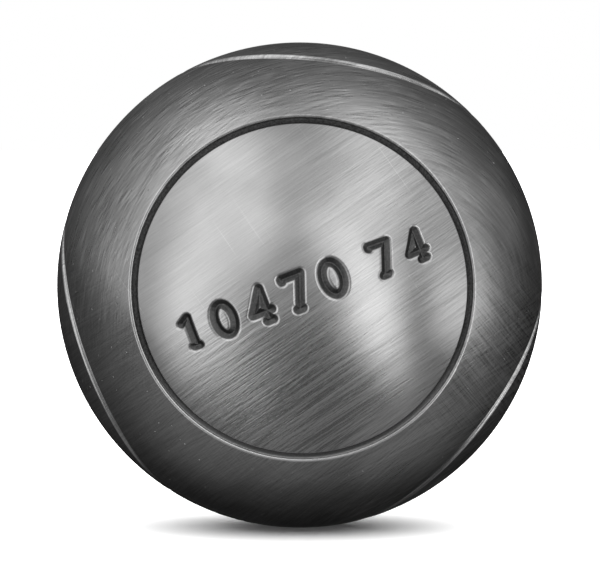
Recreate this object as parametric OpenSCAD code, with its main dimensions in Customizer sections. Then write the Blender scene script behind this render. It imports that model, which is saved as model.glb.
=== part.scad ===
// A petanque boule: a hollow steel ball made of two pressed half shells, bevelled at the
// edge and joined by a ring of weld, then turned smooth and marked with four engraved circles.
// The ball's middle is at the origin, +Z is up and the front of the ball looks along -Y.

/* [Ball] */
// Outer diameter of the finished ball
ball_d = 74; // [70.5:0.1:80]
// Thickness of the pressed wall, which sets the weight
wall = 6.15; // [5:0.05:8]

/* [Weld] */
// Gap between the two half shells at the root of the weld
root_gap = 1; // [0.4:0.1:2]
// Straight land at the inner edge of each half shell, before its bevel starts
root_land = 1.5; // [0.5:0.1:3]
// Angle between the two bevels, in degrees
bevel_angle = 60; // [40:1:80]
// Width of the bead of weld that shows inside the ball
bead_w = 3.2; // [2.4:0.1:5]
// Height of that bead above the inner wall
bead_h = 0.8; // [0.4:0.1:1.5]

/* [Engraved circles] */
// Diameter of each circle, to the middle of its line
circle_d = 49.7; // [40:0.1:54]
// Width of the line, from the outer end of one rounded lip to that of the other
line_w = 1.85; // [1.2:0.05:2.6]
// Depth of the line
line_depth = 0.65; // [0.4:0.05:1]
// Lean of the line's sides, in degrees from square to the surface
line_lean = 12; // [5:1:15]
// Radius that the line's lips are rounded to
lip_r = 0.25; // [0.1:0.05:0.3]

/* [Way the ball lies] */
// How far the front circle looks up, in degrees
face_tilt = 1.4; // [-90:0.1:90]
// How far the front circle looks to the right, in degrees
face_turn = 0.9; // [-90:0.1:90]
// How far the other circles are turned clockwise about the front one, in degrees
pattern_roll = 8.7; // [-180:0.1:180]

/* [Hidden] */
$fn = 144;

ball_r = ball_d / 2;
hollow_r = ball_r - wall;

// How far a cut runs past the surface that it opens
overrun = 1;
reach = ball_r + overrun;

// The bevels start where the land ends, and open towards the outside
bevel_start_r = hollow_r + root_land;
bevel_open_half = root_gap / 2 + (reach - bevel_start_r) * tan(bevel_angle / 2);

// The bead is the tip of a round that is bead_w wide where it meets the inner wall
bead_r = (pow(bead_w / 2, 2) + pow(bead_h, 2)) / (2 * bead_h);
bead_middle_r = hollow_r - bead_h + bead_r;
// The weld in the root gap reaches into the bead by this share of the bead's height
root_share = 0.2;

// Each circle's line is this many degrees from the circle's own middle, and the four middles
// lie as the corners of a tetrahedron do, every two the same angle apart
circle_angle = asin(circle_d / ball_d);
corner_angle = acos(-1 / 3);
circle_count = 4;
roll_step = 360 / (circle_count - 1);

// Each lip is an arc in this many steps, from flush with the ball to the lean of the side below
lip_steps = 4;
lip_arc = 90 - line_lean;
// Half widths of the line at the outer ends of its lips, at their lower ends and at its floor
line_half = line_w / 2;
side_half = line_half - lip_r * sin(lip_arc);
floor_half = side_half - (line_depth - lip_r * (1 - cos(lip_arc))) * tan(line_lean);

// The turned outside of the ball
module ball() {
    sphere(r = ball_r);
}

// The pressed inside of the two half shells
module hollow() {
    sphere(r = hollow_r);
}

// Half of the ball's space, on the front side of the seam
module front_space() {
    translate([-reach, -reach, -reach]) cube([2 * reach, reach, 2 * reach]);
}

// Turns a section about the Y axis, which the seam runs round
module around_seam() {
    rotate([-90, 0, 0]) rotate_extrude() children();
}

// Section between the two bevelled edges: x is the distance from the axis, y the distance
// from the seam, and the section begins at inner_x
module bevel_section(inner_x) {
    polygon([
        [inner_x, -root_gap / 2],
        [bevel_start_r, -root_gap / 2],
        [reach, -bevel_open_half],
        [reach, bevel_open_half],
        [bevel_start_r, root_gap / 2],
        [inner_x, root_gap / 2]
    ]);
}

// Section of the bead: the part of its round that stands proud of the inner wall
module bead_section() {
    intersection() {
        translate([bead_middle_r, 0]) circle(r = bead_r);
        circle(r = hollow_r);
    }
}

// One point of a lip's arc, on the right for side 1 or the left for side -1
function lip_point(side, step) =
    let (turn = lip_arc * step / lip_steps)
        [side * (line_half - lip_r * sin(turn)), -lip_r * (1 - cos(turn))];

// Section of the engraver's cut, square to the surface: x runs across the line, y outwards
module line_section() {
    translate([0, ball_r]) polygon(concat(
        [[-line_half, overrun]],
        [for (step = [0 : lip_steps]) lip_point(-1, step)],
        [[-floor_half, -line_depth], [floor_half, -line_depth]],
        [for (step = [lip_steps : -1 : 0]) lip_point(1, step)],
        [[line_half, overrun]]
    ));
}

// The cut for one circle, about the Z axis on the upper side of the ball
module engraved_circle() {
    rotate_extrude() rotate(-circle_angle) line_section();
}

// Turns what is on the upper side of the ball to the place of circle i; the first is in front
module at_circle(i) {
    rotate([-face_tilt, 0, face_turn])
        if (i == 0)
            rotate([90, 0, 0]) children();
        else
            rotate([0, pattern_roll + i * roll_step, 0])
                rotate([90 - corner_angle, 0, 0]) children();
}

// Engraves a piece with the circles from number first on, one after another
module engrave(first = 0) {
    if (first == circle_count)
        children();
    else
        difference() {
            engrave(first + 1) children();
            at_circle(first) engraved_circle();
        }
}

// A pressed half shell with its machined bevel, open towards +Y and not yet engraved
module half_shell() {
    difference() {
        intersection() {
            ball();
            front_space();
        }
        hollow();
        around_seam() bevel_section(hollow_r - overrun);
    }
}

// The ring of weld, turned flush with the outside, its bead left as it is inside
module weld_ring() {
    intersection() {
        ball();
        around_seam() {
            bevel_section(hollow_r - bead_h * root_share);
            bead_section();
        }
    }
}

// The half shell that the viewer faces
module front_half_shell() {
    color("#84878a") engrave() half_shell();
}

// The same pressing turned round, so that the two open sides meet
module rear_half_shell() {
    color("#75787b") engrave() mirror([0, 1, 0]) half_shell();
}

// The weld that fills the bevels and makes one ball of the two shells
module weld_seam() {
    color("#a8abad") engrave() weld_ring();
}

front_half_shell();
rear_half_shell();
weld_seam();
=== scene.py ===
"""A petanque boule: two pressed steel half shells and the ring of weld that joins them, turned to one
smooth ball, engraved with four circles, marked with plain numbers and dressed with an abrasive belt."""

import math

import bmesh
import bpy
import numpy as np
from mathutils import Matrix, Vector, noise


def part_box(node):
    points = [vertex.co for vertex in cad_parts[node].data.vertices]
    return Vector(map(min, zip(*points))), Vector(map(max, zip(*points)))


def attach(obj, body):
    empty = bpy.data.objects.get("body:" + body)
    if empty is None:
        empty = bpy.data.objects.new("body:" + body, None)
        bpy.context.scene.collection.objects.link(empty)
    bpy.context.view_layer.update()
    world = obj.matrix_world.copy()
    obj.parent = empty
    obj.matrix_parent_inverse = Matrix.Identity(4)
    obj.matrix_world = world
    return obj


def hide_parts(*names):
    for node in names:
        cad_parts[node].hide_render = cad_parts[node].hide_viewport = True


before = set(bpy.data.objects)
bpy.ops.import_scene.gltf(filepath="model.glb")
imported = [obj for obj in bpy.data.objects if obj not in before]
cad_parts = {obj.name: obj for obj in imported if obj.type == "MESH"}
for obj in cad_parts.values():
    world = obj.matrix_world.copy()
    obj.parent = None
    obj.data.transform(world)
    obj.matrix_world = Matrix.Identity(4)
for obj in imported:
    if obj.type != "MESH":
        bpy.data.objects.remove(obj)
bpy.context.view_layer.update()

# Front half shell
# A disc of carbon steel pressed into half a ball, with a wall of six millimetres. Once it is welded to
# its twin, its outside is turned, engraved with the circles, stamped with numbers and belt ground.
# Sizes of the shells are in millimetres, as on a drawing, and the finished meshes are scaled to metres.
MM = 0.001
ball_r = -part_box("front_half_shell")[0].y / MM
wall = 6.15
hollow_r = ball_r - wall

# The edge is machined for the weld: a straight land next to the hollow, then a bevel out to the ball
root_half, root_land = 0.5, 1.5
bevel_lean = math.radians(30)
bevel_start_r = hollow_r + root_land
bevel_slope = math.tan(bevel_lean)
bevel_lead = root_half - bevel_start_r * bevel_slope
# Half the width of the weld where the bevels of both shells reach the outside of the ball
seam_half = bevel_slope * (
    math.sqrt(ball_r ** 2 * (1 + bevel_slope ** 2) - bevel_lead ** 2) - bevel_slope * bevel_lead
) / (1 + bevel_slope ** 2) + bevel_lead

# The circles lie as the corners of a tetrahedron do, and the front one faces the viewer
circle_d = 49.8
circle_angle = math.asin(circle_d / 2 / ball_r)
corner_angle = math.acos(-1 / 3)
roll_step = math.radians(120)
face_tilt, face_turn, pattern_roll = (math.radians(a) for a in (1.4, 0.9, 8.7))
lie = Matrix.Rotation(face_turn, 3, "Z") @ Matrix.Rotation(-face_tilt, 3, "X")
front_axis = lie @ Vector((0, -1, 0))
circle_axes = [front_axis]
for corner in (1, 2, 3):
    roll = Matrix.Rotation(pattern_roll + corner * roll_step, 3, "Y")
    lean = Matrix.Rotation(math.radians(90) - corner_angle, 3, "X")
    circle_axes.append(lie @ roll @ lean @ Vector((0, 0, 1)))

# Section of an engraved line: the round floor of the engraver's tool, leaning sides, and worn lips
line_half, line_depth = 1.10, 0.68
line_lean = math.radians(12)
line_tool_r, line_lip_r, line_floor_round = 1.1, 0.46, 0.14
# Distances from a line's middle, on both sides of it, at which a ring of edges draws its section, and
# how far past the last of them the mesh may be cut
line_steps = (0, 0.2, 0.38, 0.5, 0.57, 0.6, 0.62, 0.64, 0.66, 0.69, 0.73, 0.78, 0.85, 0.93, 1.02, 1.1, 1.18)
line_margin = 1.0

# Plain numbers, as such balls are marked: one of the pair, and the diameter in millimetres
number_groups = ("10470", "74")
digit_h, digit_w = 6.7, 4.7
digit_gap, group_gap = 1.05, 3.3
number_rise = math.radians(21)
nought_sides = 24
stroke_half, stroke_slope = 0.88, 0.75
stroke_lip_round, stroke_floor_round = 0.16, 0.04
# Longest edges that the mesh may have near a stroke, each with the two distances from the stroke's
# middle between which it holds
stroke_edges = ((0.4, 0.0, 1.9), (0.2, 0.0, 1.5), (0.1, 0.65, 1.25))
# All numbers lie where the cosine of the angle from the front circle's middle is more than this
numbers_within = 0.6
# Stands for the distance to a stroke where none is near
far_off = 99.0

# How far hand and machine let the cuts stray to the side, and the length of one such sway
cut_stray, sway_length = 0.018, 1.7
# Points this near to a plane that cuts the mesh count as on it
on_plane = 0.0005


def soft_max(a, b, blend):
    """The larger of two heights, blended over the corner between them"""
    mix = np.clip(0.5 + (a - b) / (2 * blend), 0, 1)
    return b + (a - b) * mix + blend * mix * (1 - mix)


def soft_min(a, b, blend):
    """The smaller of two heights, blended over the corner between them"""
    return -soft_max(-a, -b, blend)


def line_section(across):
    """Depth of an engraved line at a distance from its middle: round floor, leaning side and lip"""
    from_middle = np.minimum(np.abs(across), line_half)
    inwards = line_half - np.abs(across)
    floor = line_depth - line_tool_r + np.sqrt(line_tool_r ** 2 - from_middle ** 2)
    lip_run = line_lip_r * math.cos(line_lean)
    lip = line_lip_r - np.sqrt(line_lip_r ** 2 - np.clip(inwards, 0, lip_run) ** 2)
    flank = np.maximum(inwards - lip_run, 0) / math.tan(line_lean)
    return soft_min(lip + flank, floor, line_floor_round)


def digit_strokes(digit):
    """Middle lines of a digit's strokes, serifs too, as points in shares of its width and height"""
    if digit == "1":
        return [[(0.15, 0.86), (0.55, 1), (0.55, 0)], [(0.4, 0), (0.7, 0)]]
    if digit == "4":
        return [[(0.75, 0), (0.75, 1), (0, 0.3), (1, 0.3)], [(0.6, 0), (0.9, 0)]]
    if digit == "7":
        return [[(0, 1), (1, 1), (0.4, 0)], [(0, 0.94), (0, 1)], [(0.28, 0), (0.52, 0)]]
    turns = [math.radians(360 / nought_sides * side) for side in range(nought_sides + 1)]
    return [[(0.5 + 0.5 * math.sin(turn), 0.5 + 0.5 * math.cos(turn)) for turn in turns]]


def number_segments():
    """Straight pieces of all strokes on the flat, centred on the front circle"""
    wide = sum(len(group) for group in number_groups) * (digit_w + digit_gap)
    wide += (len(number_groups) - 1) * (group_gap - digit_gap) - digit_gap
    pen_x = -wide / 2 + stroke_half
    segments = []
    for group in number_groups:
        for digit in group:
            for stroke in digit_strokes(digit):
                points = [
                    Vector((
                        pen_x + x * (digit_w - 2 * stroke_half),
                        (y - 0.5) * (digit_h - 2 * stroke_half),
                    ))
                    for x, y in stroke
                ]
                segments += zip(points, points[1:])
            pen_x += digit_w + digit_gap
        pen_x += group_gap - digit_gap
    return segments


level_right = Vector((0, 0, 1)).cross(front_axis).normalized()
number_right = Matrix.Rotation(number_rise, 3, front_axis) @ level_right
number_up = front_axis.cross(number_right)
strokes = number_segments()


def on_the_flat(points):
    """Where points of the ball lie on the flat sheet that the numbers are drawn on"""
    ahead = points @ np.array(front_axis)
    x = np.arctan2(points @ np.array(number_right), ahead) * ball_r
    y = np.arctan2(points @ np.array(number_up), ahead) * ball_r
    return x, y


def stroke_distance(points):
    """Distance in millimetres from each point to the middle line of the nearest stroke"""
    x, y = on_the_flat(points)
    nearest = np.full(len(points), far_off)
    for start, end in strokes:
        run = end - start
        along = np.clip(((x - start.x) * run.x + (y - start.y) * run.y) / run.length_squared, 0, 1)
        gap = np.hypot(x - start.x - along * run.x, y - start.y - along * run.y)
        nearest = np.minimum(nearest, gap)
    return nearest


def stroke_section(distance):
    """Depth of a stamped stroke: a V with a little round at its bottom, and soft lips"""
    valley = stroke_half * stroke_slope - stroke_floor_round
    side = (stroke_half - distance) * stroke_slope
    return soft_max(soft_min(side, valley, stroke_floor_round), 0, stroke_lip_round)


def depth_below_ball(directions, strays, near_numbers):
    """How deep the cuts lie under the round of the ball in each direction"""
    depth = np.zeros(len(directions))
    for axis in circle_axes:
        angle = np.arccos(np.clip(directions @ np.array(axis), -1, 1))
        depth = np.maximum(depth, line_section((angle - circle_angle) * ball_r + strays))
    distance = stroke_distance(directions[near_numbers]) + strays[near_numbers]
    depth[near_numbers] = np.maximum(depth[near_numbers], stroke_section(distance))
    return depth


def surface(directions):
    """Points and normals of the finished outside, worked out from its section rather than its facets"""
    strays = np.array([noise.noise(Vector(d) * ball_r / sway_length) * cut_stray for d in directions])
    ahead = directions @ np.array(front_axis) > numbers_within
    near_numbers = ahead & (np.abs(on_the_flat(directions)[1]) < digit_h)
    # The slope is taken along two tangents, east and north of each point, over this distance either way.
    # East is square to the Z axis, or to the X axis for points near a pole.
    nudge = 0.006 / ball_r
    near_pole = np.abs(directions[:, 2:3]) >= 0.9
    east = np.cross(np.where(near_pole, [[1.0, 0, 0]], [[0, 0, 1.0]]), directions)
    east /= np.linalg.norm(east, axis=1, keepdims=True)
    north = np.cross(directions, east)

    def place(spots):
        spots = spots / np.linalg.norm(spots, axis=1, keepdims=True)
        return spots * (ball_r - depth_below_ball(spots, strays, near_numbers))[:, None]

    slope_east = place(directions + east * nudge) - place(directions - east * nudge)
    slope_north = place(directions + north * nudge) - place(directions - north * nudge)
    normals = np.cross(slope_east, slope_north)
    return place(directions), normals / np.linalg.norm(normals, axis=1, keepdims=True)


def directions_of(bm):
    """Unit vectors from the middle of the ball to every vertex"""
    spots = np.array([v.co for v in bm.verts])
    return spots / np.linalg.norm(spots, axis=1, keepdims=True)


def turned_ball():
    """The whole outside of the ball, with rings of edges along each engraved line"""
    bm = bmesh.new()
    bmesh.ops.create_icosphere(bm, subdivisions=7, radius=ball_r)
    for axis in circle_axes:
        by_line = [
            f for f in bm.faces
            if abs(f.calc_center_median().angle(axis) - circle_angle) * ball_r < line_steps[-1] + line_margin
        ]
        parts = list({part for f in by_line for part in (*f.verts, *f.edges, f)})
        for step in sorted({side * step for step in line_steps for side in (-1, 1)}):
            height = ball_r * math.cos(circle_angle + step / ball_r)
            parts = bmesh.ops.bisect_plane(
                bm, geom=parts, dist=on_plane, plane_co=axis * height, plane_no=axis
            )["geom"]
    # The mesh is made finer where a stroke of a number passes
    for longest, inner, outer in stroke_edges:
        bm.verts.ensure_lookup_table()
        bm.verts.index_update()
        directions = directions_of(bm)
        ahead = directions @ np.array(front_axis) > numbers_within
        gap = np.full(len(directions), far_off)
        gap[ahead] = stroke_distance(directions[ahead])
        near = (gap > inner) & (gap < outer)
        edges = [
            e for e in bm.edges
            if near[e.verts[0].index] and near[e.verts[1].index] and e.calc_length() > longest
        ]
        bmesh.ops.subdivide_edges(bm, edges=edges, cuts=1, use_grid_fill=True)
    bmesh.ops.triangulate(bm, faces=[f for f in bm.faces if len(f.verts) > 4])
    for v, spot in zip(bm.verts, surface(directions_of(bm))[0]):
        v.co = spot
    for f in bm.faces:
        f.smooth = True
    return bm


def cut_at(bm, y, keep):
    """Cuts a ball across at y, keeps the side that keep points to, and returns the rim of the cut"""
    bmesh.ops.bisect_plane(
        bm, geom=bm.verts[:] + bm.edges[:] + bm.faces[:], dist=on_plane,
        plane_co=(0, y, 0), plane_no=(0, -keep, 0), clear_outer=True,
    )
    return [
        e for e in bm.edges
        if e.is_boundary and all(abs(v.co.y - y) < 2 * on_plane for v in e.verts)
    ]


def step_to(bm, rim, r, y):
    """Extrudes a rim to another radius and distance from the seam, and returns the new rim"""
    grown = bmesh.ops.extrude_edge_only(bm, edges=rim)["geom"]
    for v in (part for part in grown if isinstance(part, bmesh.types.BMVert)):
        spread = r / math.hypot(v.co.x, v.co.z)
        v.co = (v.co.x * spread, y, v.co.z * spread)
    return [part for part in grown if isinstance(part, bmesh.types.BMEdge) and part.is_boundary]


def half_shell(outside, side):
    """One half shell: its outside, the bevel and land of its weld edge, and its pressed inside"""
    bm = outside.copy()
    rim = cut_at(bm, side * seam_half, side)
    root = step_to(bm, rim, bevel_start_r, side * root_half)
    hollow = bmesh.new()
    bmesh.ops.create_icosphere(hollow, subdivisions=6, radius=hollow_r)
    cut_at(hollow, side * root_half, side)
    bmesh.ops.reverse_faces(hollow, faces=hollow.faces)
    pressed = bpy.data.meshes.new("pressed_inside")
    hollow.to_mesh(pressed)
    hollow.free()
    bm.from_mesh(pressed)
    bpy.data.meshes.remove(pressed)
    inner = [e for e in bm.edges if e.is_boundary and e.verts[0].co.length < hollow_r + root_land / 2]
    bmesh.ops.bridge_loops(bm, edges=root + inner)
    return bm


def finish_piece(name, bm, material):
    """Makes a piece of the mesh, in metres, with the true normals of the turned outside"""
    bmesh.ops.scale(bm, vec=(MM, MM, MM), verts=bm.verts)
    mesh = bpy.data.meshes.new(name)
    bm.to_mesh(mesh)
    bm.free()
    piece = bpy.data.objects.new(name, mesh)
    bpy.context.scene.collection.objects.link(piece)
    mesh.materials.append(material)
    spots = np.empty(len(mesh.vertices) * 3)
    mesh.vertices.foreach_get("co", spots)
    spots = spots.reshape(-1, 3)
    normals = surface(spots / np.linalg.norm(spots, axis=1, keepdims=True))[1]
    corner_vertex = np.empty(len(mesh.loops), int)
    mesh.loops.foreach_get("vertex_index", corner_vertex)
    turned = np.empty(len(mesh.polygons), bool)
    mesh.polygons.foreach_get("use_smooth", turned)
    corners = np.empty(len(mesh.polygons), int)
    mesh.polygons.foreach_get("loop_total", corners)
    # Where the normal given is nought, as on the bevels and in the hollow, a face keeps its own
    corner_normals = normals[corner_vertex] * np.repeat(turned, corners)[:, None]
    mesh.normals_split_custom_set(corner_normals.tolist())
    return piece


# The viewer's right and up, and the way back to the viewer, from the angle that the camera looks down by
view_drop = math.radians(2.4)
view_right = Vector((1, 0, 0))
view_up = Vector((0, math.sin(view_drop), math.cos(view_drop)))
view_back = Vector((0, -math.cos(view_drop), math.sin(view_drop)))


def across_marks(rise):
    """Direction square to marks that rise to the right by that many degrees, as the viewer sees them"""
    turn = math.radians(rise)
    return (view_right * math.sin(turn) - view_up * math.cos(turn)).normalized()


# Directions square to the marks of the two passes round the ball, and the middle of a patch low on the face
# where the marks are drawn stronger, in bumps and as painted glints
round_across = (view_right * 0.5 - view_up * 0.25 + view_back).normalized()
tilted_across = (view_right * 0.25 - view_up * 0.55 + view_back).normalized()
glinting_marks_middle = (view_back * 0.87 - view_right * 0.1 - view_up * 0.48).normalized()

# Bare steel between its marks and along them, a painted highlight on the front line's low left lip, and at
# the ball's limb
steel_dark, steel_light, lip_highlight_colour, steel_limb = "#a0a0a0", "#d8d8d8", "#f4f4f4", "#e0e0e0"
# Oxide and dirt in the cuts
oxide_dark, oxide_light = "#2c2c2c", "#8c8c8c"


def past_line(angle):
    """Cosine that a point has with the front circle's middle, that many radians outside its line"""
    return math.cos(circle_angle + angle)


# Zones that the finish changes over: each has its two ends, and its values before the first and past
# the second. These go by the cosine of the angle from the front circle's middle
facing_zones = {
    "front_line": (past_line(0.12), past_line(0.06), 0.0, 1.0),
    "number_place": (past_line(-0.04), past_line(-0.06), 0.0, 1.0),
    "ring": (past_line(0.10), past_line(-0.05), 1.0, 0.0),
    "face": (past_line(0.10), past_line(-0.05), 0.0, 1.0),
}
# By depth in millimetres under the round of the ball. The belt rides over the cuts, so that its marks
# end at their lips
depth_zones = {
    "marks": (0.001, 0.014, 1.0, 0.0),
    "lip": (0.002, 0.03, 0.0, 1.0),
    "stamping": (0.05, 0.2, 0.0, 1.0),
}
# By height above the middle of the ball. The values of the black reach are how high the black stands in the
# cuts, in millimetres
up_zones = {
    "black_reach_in_front": (-24 * MM, -6 * MM, 0.02, 0.16),
    "black_reach_elsewhere": (-30 * MM, -20 * MM, 0.5, 0.0),
    "oxide_paler_low": (-24 * MM, -6 * MM, 0.4, -0.15),
    # Where the painted highlight on the front line's lip lies: low on the ball
    "lip_highlight_low": (-24 * MM, -6 * MM, 0.7, 0.0),
    "above": (-14 * MM, 15 * MM, 0.2, 1.6),
    "below": (-10 * MM, 12 * MM, 1.9, 0.2),
    "crossed_up": (-24 * MM, -14 * MM, 0.0, 1.0),
}
# By distance to the right of the middle of the ball
right_zones = {
    # The painted highlight on the front line's lip lies to the left
    "lip_highlight_left": (4 * MM, 18 * MM, 1.0, 0.1),
    "face_right": (-10 * MM, 18 * MM, 0.4, 1.0),
    "above_left": (12 * MM, 24 * MM, 1.05, 0.7),
    "below_right": (-15 * MM, 15 * MM, 0.7, 1.15),
    "crossed_right": (14 * MM, 24 * MM, 0.0, 1.0),
}
# By distance from the middle of the patch where the marks are drawn stronger, in bumps and as painted glints
# in their tone
glinting_marks_zones = {"glinting_marks": (2 * MM, 22 * MM, 3.2, 0.0)}
# Depths in millimetres between which a clean line turns black
black_from, black_to = 0.42, 0.68

# Lengths in millimetres of the patches that the belt took and missed, the grain and the clouding, and
# the space between specks of dust
patch_length, grain_length, cloud_length, dust_space = 3, 0.3, 12, 1.5
# Depth in millimetres that a full height of the marks stands for
mark_depth = 0.05


def linear(hex_colour):
    """Turns an sRGB hex colour into the linear colour that a shader takes"""
    parts = [int(hex_colour[i:i + 2], 16) / 255 for i in (1, 3, 5)]
    return (*[p / 12.92 if p <= 0.04045 else ((p + 0.055) / 1.055) ** 2.4 for p in parts], 1)


def add(tree, kind, settings=None, inputs=None):
    """Adds a node with its settings, and its inputs, each a value or the output that feeds it"""
    node = tree.nodes.new(kind)
    for name, value in (settings or {}).items():
        setattr(node, name, value)
    for name, value in (inputs or {}).items():
        if isinstance(value, bpy.types.NodeSocket):
            tree.links.new(value, node.inputs[name])
        else:
            node.inputs[name].default_value = value
    return node


def marks(tree, position, across, length, width, detail=1, shift=0):
    """Marks of one pass: a noise drawn out into lines of that length and width, square to across, and
    moved by shift so that no two passes match"""
    turn = Vector((0, 0, 1)).rotation_difference(across).to_euler()
    laid = add(tree, "ShaderNodeMapping", {"vector_type": "TEXTURE"}, {
        "Vector": position, "Rotation": turn, "Scale": (length * MM, length * MM, width * MM),
        "Location": (shift * MM, 0, 0),
    })
    return add(tree, "ShaderNodeTexNoise", {"noise_dimensions": "3D"}, {
        "Vector": laid.outputs[0], "Scale": 1, "Detail": detail, "Roughness": 0.6,
    }).outputs[0]


def sums(tree, *terms, start=0.0):
    """Adds up values, each with its own weight"""
    total = start
    for value, weight in terms:
        total = add(tree, "ShaderNodeMath", {"operation": "MULTIPLY_ADD"}, {
            0: value, 1: weight, 2: total,
        }).outputs[0]
    return total


def swing(tree, *terms):
    """Adds up noises, each with its own weight, to a value that swings about nought"""
    return sums(tree, *terms, start=-0.5 * sum(weight for value, weight in terms))


def product(tree, first, *others):
    """Multiplies values with each other"""
    total = first
    for value in others:
        total = add(tree, "ShaderNodeMath", {"operation": "MULTIPLY"}, {0: total, 1: value}).outputs[0]
    return total


def ground_steel(name, roughness):
    """Carbon steel turned and then ground with a fine belt: a satin grey that gleams in streaks square to
    its marks, with cuts that oxide and grime have blackened"""
    material = bpy.data.materials.new(name)
    material.use_nodes = True
    tree = material.node_tree
    tree.nodes.clear()
    soft_ends = {"interpolation_type": "SMOOTHSTEP"}
    position = add(tree, "ShaderNodeTexCoord").outputs["Object"]
    radius = add(tree, "ShaderNodeVectorMath", {"operation": "LENGTH"}, {0: position}).outputs["Value"]
    depth = add(tree, "ShaderNodeMath", {"operation": "MULTIPLY_ADD"}, {
        0: radius, 1: -1 / MM, 2: ball_r,
    }).outputs[0]
    facing = add(tree, "ShaderNodeVectorMath", {"operation": "DOT_PRODUCT"}, {
        0: position, 1: front_axis / MM / ball_r,
    }).outputs["Value"]
    place = add(tree, "ShaderNodeSeparateXYZ", None, {0: position}).outputs
    from_glinting_marks = add(tree, "ShaderNodeVectorMath", {"operation": "DISTANCE"}, {
        0: position, 1: glinting_marks_middle * ball_r * MM,
    }).outputs["Value"]
    zones = {}
    for along, ends_and_values in (
        (facing, facing_zones), (depth, depth_zones), (place["Z"], up_zones), (place["X"], right_zones),
        (from_glinting_marks, glinting_marks_zones),
    ):
        for zone, (low, high, before, past) in ends_and_values.items():
            zones[zone] = add(tree, "ShaderNodeMapRange", soft_ends, {
                "Value": along, "From Min": low, "From Max": high, "To Min": before, "To Max": past,
            }).outputs[0]

    # The black stands higher up the sides of the front line than of the others, less so where it is low on
    # the ball, and fills the others at their low ends
    black_reach = add(tree, "ShaderNodeMix", {"data_type": "FLOAT"}, {
        "Factor": zones["front_line"], "A": zones["black_reach_elsewhere"], "B": zones["black_reach_in_front"],
    }).outputs["Result"]
    line_black = add(tree, "ShaderNodeMapRange", soft_ends, {
        "Value": sums(tree, (depth, 1.0), (black_reach, 1.0)), "From Min": black_from, "From Max": black_to,
    }).outputs[0]
    # The stamped numbers are shallower than the lines, and black from edge to edge
    stamped = product(tree, zones["number_place"], zones["stamping"])
    cut = add(tree, "ShaderNodeMath", {"operation": "MAXIMUM"}, {0: line_black, 1: stamped}).outputs[0]
    bare = add(tree, "ShaderNodeMath", {"operation": "SUBTRACT"}, {0: 1.0, 1: cut}).outputs[0]

    # The face in the front circle was dressed again; low on it the marks are stronger, in bumps and as
    # painted glints. The rest of the ball was ground round and round above, and straight below, where marks
    # cross on the right.
    face = product(tree, zones["face"], sums(tree, (zones["face_right"], 1.0), (zones["glinting_marks"], 1.0)))
    above = product(tree, zones["ring"], zones["above"], zones["above_left"])
    below = product(tree, zones["ring"], zones["below"], zones["below_right"])
    crossed = product(tree, below, zones["crossed_right"], zones["crossed_up"])

    # Belt marks are finer than a tenth of a millimetre, and are drawn two to four times as wide to show.
    # Straight passes are given by the degrees that their marks rise by to the right.
    flat_pass = marks(tree, position, across_marks(27), length=18, width=0.20, detail=2)
    main_pass = marks(tree, position, across_marks(34), length=22, width=0.17, shift=31)
    steep_pass = marks(tree, position, across_marks(42), length=12, width=0.17, shift=47)
    round_pass = marks(tree, position, round_across, length=7, width=0.36, detail=2, shift=57)
    tilted_pass = marks(tree, position, tilted_across, length=6, width=0.32, detail=2, shift=83)
    crossing_pass = marks(tree, position, across_marks(-50), length=9, width=0.2, shift=71)
    patches, grain, cloud = (
        add(tree, "ShaderNodeTexNoise", None, {
            "Vector": position, "Scale": 1 / (length * MM), "Detail": detail,
        }).outputs[0]
        for length, detail in ((patch_length, 1), (grain_length, 2), (cloud_length, 3))
    )
    patchy = add(tree, "ShaderNodeMapRange", soft_ends, {
        "Value": patches, "From Min": 0.3, "From Max": 0.7, "To Min": 0.5, "To Max": 1.5,
    }).outputs[0]
    on_face = swing(tree, (flat_pass, 0.5), (main_pass, 0.8), (steep_pass, 0.5), (grain, 0.2))
    round_about = swing(tree, (round_pass, 0.9), (tilted_pass, 0.8), (grain, 0.15))
    straight = swing(tree, (flat_pass, 0.5), (steep_pass, 0.5), (grain, 0.15))
    belt = sums(
        tree, (on_face, face), (product(tree, round_about, patchy), above), (straight, below),
        (swing(tree, (crossing_pass, 0.8)), crossed),
    )

    # Single scratches, where a noise peaks between two values: deep ones of the belt, stray ones of
    # handling, and short nicks
    scratches = []
    for drawn, low, high in (
        (marks(tree, position, across_marks(33), length=18, width=0.2, shift=11), 0.64, 0.8),
        (marks(tree, position, across_marks(-55), length=20, width=0.26, shift=23), 0.70, 0.82),
        (marks(tree, position, tilted_across, length=0.9, width=0.4, detail=0, shift=5), 0.80, 0.88),
    ):
        scratches.append(add(tree, "ShaderNodeMapRange", soft_ends, {
            "Value": drawn, "From Min": low, "From Max": high,
        }).outputs[0])
    deep, stray, nicks = scratches
    deep = product(tree, deep, face)
    nicks = product(tree, nicks, above)

    # Specks of dust, about a fifth of a millimetre across, stand out where the steel mirrors the dark
    dots = add(tree, "ShaderNodeTexVoronoi", None, {"Vector": position, "Scale": 1 / (dust_space * MM)})
    specks = add(tree, "ShaderNodeMapRange", soft_ends, {
        "Value": dots.outputs["Distance"], "From Min": 0.02, "From Max": 0.09, "To Min": 1.0, "To Max": 0.0,
    }).outputs[0]
    dust = product(tree, specks, zones["ring"])

    tone = sums(tree, (belt, 0.85), (cloud, 0.5), (deep, -0.15), (stray, 0.2), (nicks, -0.2))
    lightness = add(tree, "ShaderNodeMapRange", soft_ends, {
        "Value": tone, "From Min": -0.2, "From Max": 0.7,
    }).outputs[0]
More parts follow.
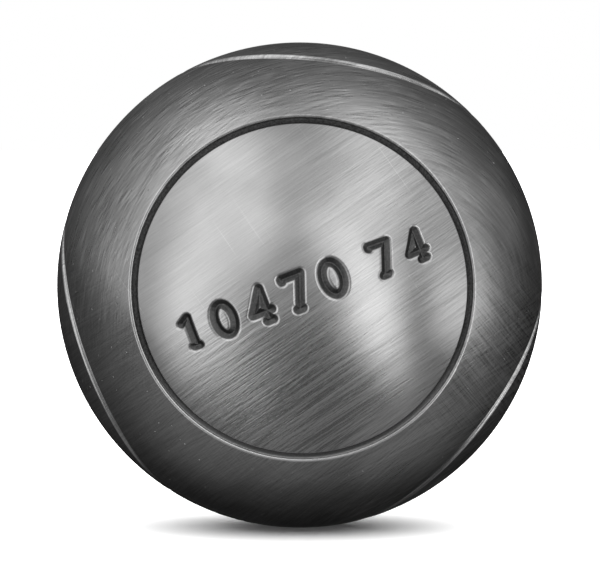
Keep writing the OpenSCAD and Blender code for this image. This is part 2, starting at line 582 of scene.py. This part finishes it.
    # A painted highlight: the low left lip of the front line is made bright where it catches the light
    painted_lip_highlight = product(tree, zones["front_line"], zones["lip"], zones["lip_highlight_low"], zones["lip_highlight_left"])
    # The oxide in the cuts is paler low on the ball
    paleness = sums(tree, (grain, 0.5), (zones["oxide_paler_low"], 1.0), (stamped, 0.25))
    steel, oxide = (
        add(tree, "ShaderNodeMix", {"data_type": "RGBA"}, {
            "Factor": share, "A": linear(dark), "B": linear(light),
        }).outputs["Result"]
        for share, dark, light in ((lightness, steel_dark, steel_light), (paleness, oxide_dark, oxide_light))
    )
    steel_with_lip_highlight = add(tree, "ShaderNodeMix", {"data_type": "RGBA"}, {
        "Factor": painted_lip_highlight, "A": steel, "B": linear(lip_highlight_colour),
    }).outputs["Result"]
    colour = add(tree, "ShaderNodeMix", {"data_type": "RGBA"}, {
        "Factor": cut, "A": steel_with_lip_highlight, "B": oxide,
    }).outputs["Result"]

    bump = add(tree, "ShaderNodeBump", None, {
        "Strength": zones["marks"], "Distance": mark_depth * MM,
        "Height": sums(tree, (belt, 0.45), (deep, -0.15), (stray, -0.12), (nicks, -0.2)),
    })
    # A ground surface spreads light square to its marks
    tangent = add(tree, "ShaderNodeMix", {"data_type": "VECTOR"}, {
        "Factor": face, "A": round_across, "B": across_marks(35),
    }).outputs["Result"]
    shader = add(tree, "ShaderNodeBsdfPrincipled", None, {
        "Base Color": colour, "Metallic": sums(tree, (dust, -0.3), start=1.0),
        "Roughness": sums(tree, (bare, roughness), (cut, 0.4), (cloud, 0.1), (belt, 0.06)),
        "Normal": bump.outputs[0], "Anisotropic": 0.35, "Tangent": tangent,
        "Specular Tint": linear(steel_limb),
    })
    add(tree, "ShaderNodeOutputMaterial", None, {"Surface": shader.outputs[0]})
    return material


ball_outside = turned_ball()
front_steel = ground_steel("belt_ground_carbon_steel_front", 0.245)
front_shell = finish_piece("front_shell", half_shell(ball_outside, -1), front_steel)
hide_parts("front_half_shell")
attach(front_shell, "root")

# Rear half shell
# The same pressing turned round, welded to the front one at its open side. The other three engraved
# circles run over it, and it is ground as the front is.
rear_steel = ground_steel("belt_ground_carbon_steel_rear", 0.255)
rear_shell = finish_piece("rear_shell", half_shell(ball_outside, 1), rear_steel)
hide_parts("rear_half_shell")
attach(rear_shell, "root")

# Weld seam
# The ring of filler that joins the two shells: it fills the V between their bevels, stands into the
# hollow as a low bead, and was turned flush with them outside, so that it hardly shows.
bead_half, bead_h = 1.6, 0.8
bead_r = (bead_half ** 2 + bead_h ** 2) / (2 * bead_h)
bead_middle_r = hollow_r - bead_h + bead_r
bead_shares = (1.0, 0.75, 0.5, 0.25)


def weld_ring(outside):
    """The band of the ball's outside over the seam, closed by the flanks of the V and the bead"""
    bm = outside.copy()
    for side in (-1, 1):
        cut_at(bm, side * seam_half, -side)
    rims = [[e for e in bm.edges if e.is_boundary and e.verts[0].co.y * side > 0] for side in (-1, 1)]
    land_end_r = math.sqrt(hollow_r ** 2 - root_half ** 2)
    inner = []
    for side, rim in zip((-1, 1), rims):
        rim = step_to(bm, rim, bevel_start_r, side * root_half)
        rim = step_to(bm, rim, land_end_r, side * root_half)
        for share in bead_shares:
            turn = math.asin(bead_half / bead_r) * share
            rim = step_to(bm, rim, bead_middle_r - bead_r * math.cos(turn), side * bead_r * math.sin(turn))
        inner += rim
    bmesh.ops.bridge_loops(bm, edges=inner)
    return bm


weld_steel = ground_steel("turned_weld_steel", 0.275)
weld = finish_piece("weld", weld_ring(ball_outside), weld_steel)
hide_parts("weld_seam")
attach(weld, "root")
ball_outside.free()

# Floor
# A sheet of white card under the ball. It takes the ball's soft shadow and isn't part of the ball.
card_half = 4.0
floor_mesh = bpy.data.meshes.new("floor")
bm = bmesh.new()
bmesh.ops.create_grid(bm, x_segments=2, y_segments=2, size=card_half)
bmesh.ops.translate(bm, vec=(0, 0, -ball_r * MM), verts=bm.verts)
bm.to_mesh(floor_mesh)
bm.free()
floor = bpy.data.objects.new("floor", floor_mesh)
bpy.context.scene.collection.objects.link(floor)
# Uncoated card is matt all over
card = bpy.data.materials.new("uncoated_white_card")
card.use_nodes = True
finish = card.node_tree.nodes["Principled BSDF"].inputs
finish["Base Color"].default_value = linear("#f4f4f4")
finish["Roughness"].default_value = 0.9
finish["Specular IOR Level"].default_value = 0.0
floor_mesh.materials.append(card)
floor.visible_glossy = False

# Studio
# Softboxes round the ball, and a dim room. Each box is placed by the direction that it shines from, in
# degrees to the right of the viewer and above, and all hang a metre and a half away.
light_distance = 1.5
ball_only = bpy.data.collections.new("lit_by_softboxes")
for piece in (front_shell, rear_shell, weld):
    ball_only.objects.link(piece)


def softbox(name, azimuth, elevation, wide, high, roll, glow):
    """A rectangular softbox: its size is given by the angles that it spans, its glow as radiance"""
    az, el, roll = math.radians(azimuth), math.radians(elevation), math.radians(roll)
    ahead = view_right * math.sin(az) * math.cos(el) + view_up * math.sin(el)
    ahead += view_back * math.cos(az) * math.cos(el)
    level = view_right * math.cos(az) - view_back * math.sin(az)
    over = ahead.cross(level)
    data = bpy.data.lights.new(name, "AREA")
    data.shape = "RECTANGLE"
    data.size = 2 * light_distance * math.tan(math.radians(wide / 2))
    data.size_y = 2 * light_distance * math.tan(math.radians(high / 2))
    data.energy = glow * data.size * data.size_y * math.pi
    light = bpy.data.objects.new(name, data)
    light.light_linking.receiver_collection = ball_only
    light.matrix_world = Matrix.Translation(ahead * light_distance) @ Matrix((
        level * math.cos(roll) + over * math.sin(roll),
        over * math.cos(roll) - level * math.sin(roll),
        ahead,
    )).transposed().to_4x4()
    bpy.context.scene.collection.objects.link(light)


softbox("left_key", -43, -2, 42, 85, -15, 0.564)
softbox("left_strip", -59, 28, 22, 105, 11, 0.263)
softbox("left_wall", -58, 21, 68, 84, -44, 0.460)
softbox("left_back", -115, 39, 33, 73, -9, 0.126)
softbox("left_low", -86, -42, 58, 110, 0, 0.037)
softbox("left_top", -55, 62, 60, 26, 0, 0.227)
softbox("front", -5, 10, 36, 60, 0, 0.195)
softbox("right_key", 31, -4, 20, 90, 29, 0.741)
softbox("right_upper_key", 35, 11, 31, 78, -4, 0.774)
softbox("right_wall", 78, 28, 42, 92, 7, 0.441)
softbox("right_fill", 78, -8, 30, 26, -20, 0.525)
softbox("right_low", 95, -27, 61, 89, 0, 0.074)
softbox("right_strip", 119, 22, 7, 34, 47, 0.3)
softbox("overhead", 15, 68, 78, 72, 6, 0.283)

world = bpy.data.worlds.new("dim_room")
world.use_nodes = True
world.cycles.sampling_method = "NONE"
room = world.node_tree
room.nodes.clear()
rays = add(room, "ShaderNodeLightPath").outputs
heading = add(room, "ShaderNodeTexCoord").outputs["Generated"]
way = add(room, "ShaderNodeSeparateXYZ", None, {0: heading}).outputs
low_in_front = add(room, "ShaderNodeVectorMath", {"operation": "DOT_PRODUCT"}, {
    0: heading, 1: (0, -0.707, -0.707),
}).outputs["Value"]
# The steel mirrors a room that glows a little from above, from low in front and from either side. The
# card is lit by an even white room, which the steel doesn't mirror.
overhead, in_front, on_left, on_right, white = (
    add(room, "ShaderNodeMapRange", {"interpolation_type": "SMOOTHSTEP"}, {
        "Value": along, "From Min": low, "From Max": high, "To Min": before, "To Max": past,
    }).outputs[0]
    for along, low, high, before, past in (
        (way["Z"], 0.0, 1.0, 0.0, 1.0),
        (low_in_front, 0.0, 1.0, 0.0, 1.0),
        (way["X"], -1.0, 0.0, 1.0, 0.0),
        (way["X"], 0.0, 1.0, 0.0, 1.0),
        (way["Z"], 0.1, 0.6, 0.0, 3.4),
    )
)
dim = sums(room, (overhead, 0.202), (in_front, 0.166), (on_left, 0.068), (on_right, 0.045))
for_card = add(room, "ShaderNodeMix", {"data_type": "FLOAT"}, {
    "Factor": rays["Is Diffuse Ray"], "A": dim, "B": white,
}).outputs["Result"]
seen = add(room, "ShaderNodeMix", {"data_type": "FLOAT"}, {
    "Factor": rays["Is Camera Ray"], "A": for_card, "B": 1.0,
}).outputs["Result"]
glow = add(room, "ShaderNodeBackground", None, {"Color": (1, 1, 1, 1), "Strength": seen})
add(room, "ShaderNodeOutputWorld", None, {"Surface": glow.outputs[0]})
bpy.context.scene.world = world

# Camera
# It stands twenty ball radii away and looks down a little, as the ball's shadow tells. The lens and the
# shift frame the ball as the photograph does.
camera_distance = 20 * ball_r * MM
camera_data = bpy.data.cameras.new("camera")
camera_data.sensor_width = 36
camera_data.lens = 290.8
camera_data.shift_x = 0.0007
camera = bpy.data.objects.new("camera", camera_data)
camera.location = view_back * camera_distance
camera.rotation_euler = (math.radians(90) - view_drop, 0, 0)
bpy.context.scene.collection.objects.link(camera)
bpy.context.scene.camera = camera
bpy.context.scene.view_settings.view_transform = "Standard"
